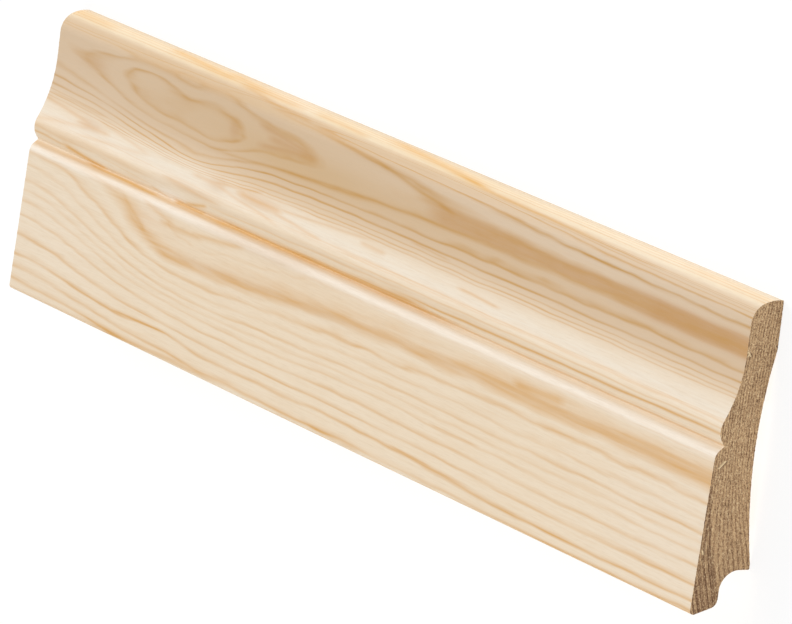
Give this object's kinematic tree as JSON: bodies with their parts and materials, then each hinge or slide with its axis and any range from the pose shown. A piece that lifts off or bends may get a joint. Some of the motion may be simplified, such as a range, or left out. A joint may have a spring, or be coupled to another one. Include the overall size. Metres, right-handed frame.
{
  "type": "skirting board length",
  "caption": "Short length of ogee skirting board in planed pine, with a quirk below the bead, a leaning lower face, a hollowed back and a coved heel.",
  "frame": {"origin": "middle of the back, on the plane of the two lands that touch the wall, halfway along the length", "axes": "+X along the length towards the end that shows its end grain, +Y across the board towards the edge that is uppermost on the wall, +Z out of the back towards the moulded face"},
  "size_m": [0.428, 0.095, 0.019],
  "materials": {
    "pine": "planed and unfinished, with sawn ends"
  },
  "bodies": {
    "root": {"skirting_board": "pine"}
  },
  "joints": []
}
